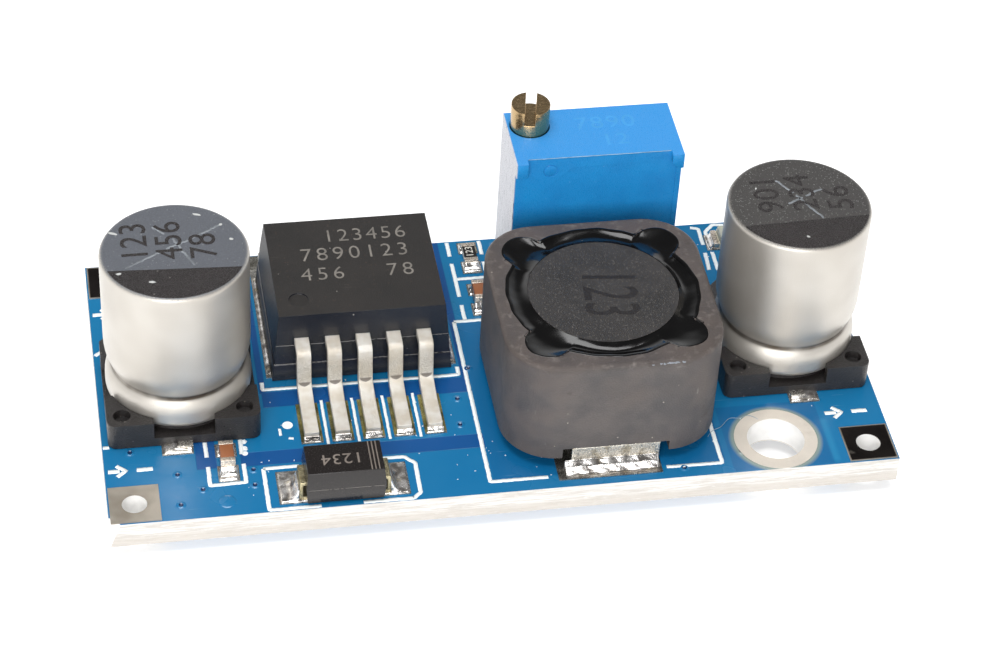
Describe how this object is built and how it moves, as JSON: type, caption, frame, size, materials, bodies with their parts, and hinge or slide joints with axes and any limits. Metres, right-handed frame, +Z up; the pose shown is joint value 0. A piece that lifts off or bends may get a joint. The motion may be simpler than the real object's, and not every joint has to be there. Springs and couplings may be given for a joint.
{
  "type": "buck converter module",
  "caption": "Step-down power board with aluminium capacitor cans, a moulded regulator with bent leads, a shielded inductor and a blue trimmer whose screw turns a worm-driven wiper.",
  "frame": {"origin": "centre of the board on its underside", "axes": "+X along the board from the input end to the output end, +Y towards the trimmer's long edge, +Z up through the components"},
  "size_m": [0.0432, 0.021, 0.014],
  "materials": {
    "board_laminate": "glossy solder mask over glass laminate",
    "tinned_copper": "tinned copper, satin",
    "solder": "solder, bright and lumpy",
    "can_aluminium": "satin drawn aluminium",
    "can_base": "dark moulded plastic",
    "terminal_tin": "tinned steel wire and plate",
    "bung_rubber": "matte",
    "wound_foil": "foil and paper roll",
    "moulded_epoxy": "fine matte moulding compound",
    "slug_metal": "tinned copper slug",
    "silicon": "polished",
    "ferrite": "pressed ferrite, matte",
    "copper_wire": "enamelled",
    "black_resin": "glossy cast resin",
    "blue_plastic": "satin moulded plastic",
    "screw_brass": "turned",
    "wheel_nylon": "satin",
    "contact_bronze": "spring bronze",
    "white_ceramic": "matte",
    "seal_rubber": "matte",
    "blue_potting": "cast resin",
    "brown_ceramic": "satin",
    "black_glaze": "glazed",
    "lamp_white": "satin",
    "lamp_clear": "clear, slightly yellow"
  },
  "bodies": {
    "module": {"circuit_board": "board_laminate", "wire_pads": "tinned_copper", "hole_rings": "tinned_copper", "part_lands": "tinned_copper", "pin_lands": "tinned_copper", "solder_joints": "solder", "regulator_body": "moulded_epoxy", "regulator_slug": "slug_metal", "regulator_leads": "terminal_tin", "regulator_die": "silicon", "inductor_shield": "ferrite", "inductor_drum": "ferrite", "inductor_winding": "copper_wire", "inductor_terminals": "terminal_tin", "inductor_resin": "black_resin", "trimmer_housing": "blue_plastic", "trimmer_element": "white_ceramic", "trimmer_pins": "terminal_tin", "trimmer_seal": "seal_rubber", "trimmer_potting": "blue_potting", "diode_body": "moulded_epoxy", "diode_terminals": "terminal_tin", "diode_die": "silicon", "front_chip_cap_body": "brown_ceramic", "front_chip_cap_ends": "terminal_tin", "rear_chip_cap_body": "brown_ceramic", "rear_chip_cap_ends": "terminal_tin", "sense_resistor_body": "white_ceramic", "sense_resistor_coat": "black_glaze", "sense_resistor_ends": "terminal_tin", "lamp_resistor_body": "white_ceramic", "lamp_resistor_coat": "black_glaze", "lamp_resistor_ends": "terminal_tin", "lamp_base": "lamp_white", "lamp_lens": "lamp_clear", "lamp_ends": "terminal_tin", "input_cap_can": "can_aluminium", "input_cap_base": "can_base", "input_cap_terminals": "terminal_tin", "input_cap_bung": "bung_rubber", "input_cap_winding": "wound_foil", "output_cap_can": "can_aluminium", "output_cap_base": "can_base", "output_cap_terminals": "terminal_tin", "output_cap_bung": "bung_rubber", "output_cap_winding": "wound_foil"},
    "screw": {"trimmer_screw": "screw_brass"},
    "wheel": {"trimmer_wheel": "wheel_nylon", "trimmer_wiper": "contact_bronze"}
  },
  "joints": [
    {"name": "screw_turn", "type": "hinge", "parent": "module", "child": "screw", "pos_m": [0.00365, 0.0083, 0.00668], "axis": [0, 0, 1], "range_deg": [-4500, 4500]},
    {"name": "wheel_turn", "type": "hinge", "parent": "module", "child": "wheel", "pos_m": [0.00762, 0.0083, 0.00668], "axis": [0, 1, 0], "range_deg": [-146, 146]}
  ],
  "couplings": [
    {"joint": "wheel_turn", "follows": "screw_turn", "ratio": -0.032258}
  ]
}
